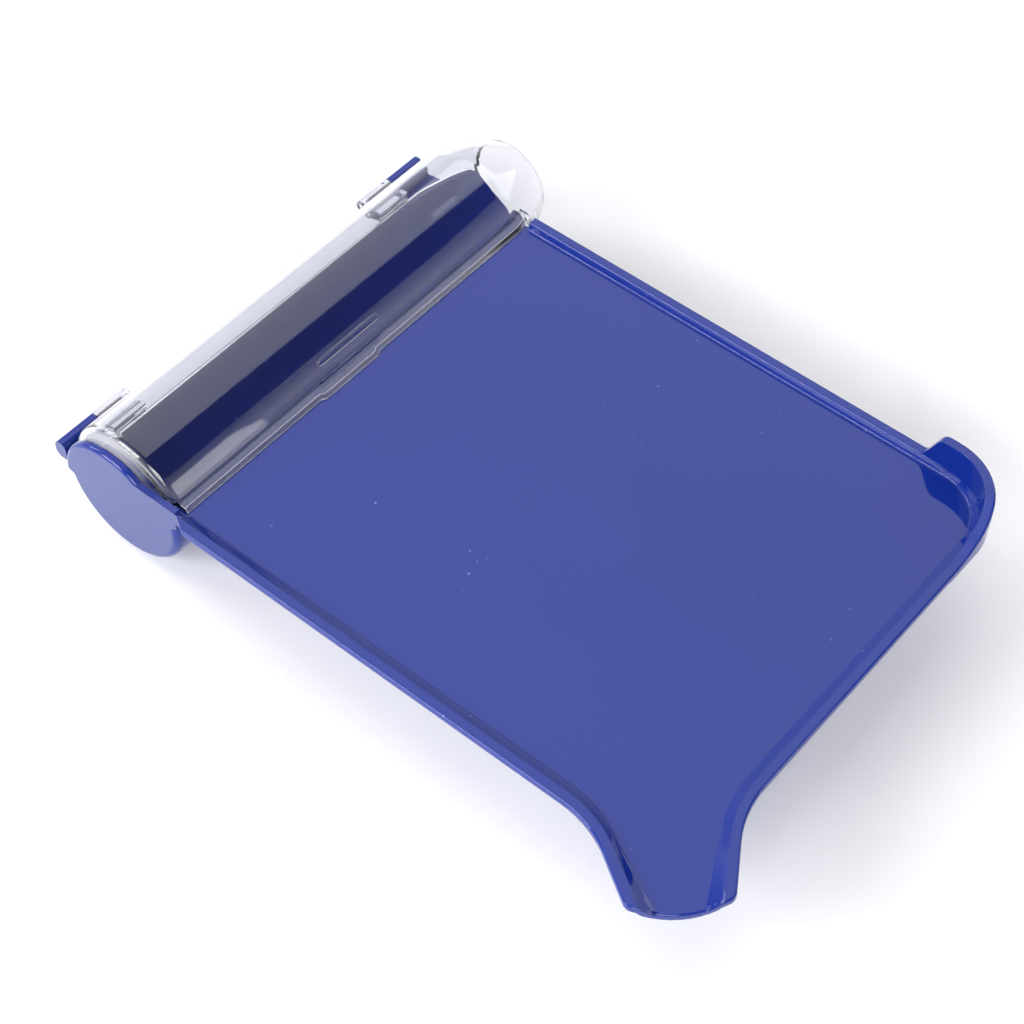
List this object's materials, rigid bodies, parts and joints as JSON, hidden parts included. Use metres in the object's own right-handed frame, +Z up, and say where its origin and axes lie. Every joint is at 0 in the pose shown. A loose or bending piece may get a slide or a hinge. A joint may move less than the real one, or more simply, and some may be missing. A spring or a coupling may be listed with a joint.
{
  "type": "tablet counting tray",
  "caption": "Shallow blue counting tray with a covered pouring trough, a clear hinged lid over the trough, a pouring spout and a raised corner.",
  "frame": {"origin": "centre of the bounding box of the closed tray, at the table surface it stands on", "axes": "+Z up; +Y along the trough from its closed end to its pouring mouth; +X across the deck from the hinge side to the raised corner"},
  "size_m": [0.2198, 0.1708, 0.0408],
  "materials": {
    "blue_plastic": "gloss",
    "clear_plastic": "gloss",
    "pin_steel": "satin"
  },
  "bodies": {
    "tray_body": {"tray": "blue_plastic", "hinge_pin_near": "pin_steel", "hinge_pin_far": "pin_steel"},
    "lid_body": {"lid": "clear_plastic"}
  },
  "joints": [
    {"name": "lid_hinge", "type": "hinge", "parent": "tray_body", "child": "lid_body", "pos_m": [-0.10793, 0, 0.01965], "axis": [0, -1, 0], "range_deg": [0, 120]}
  ]
}
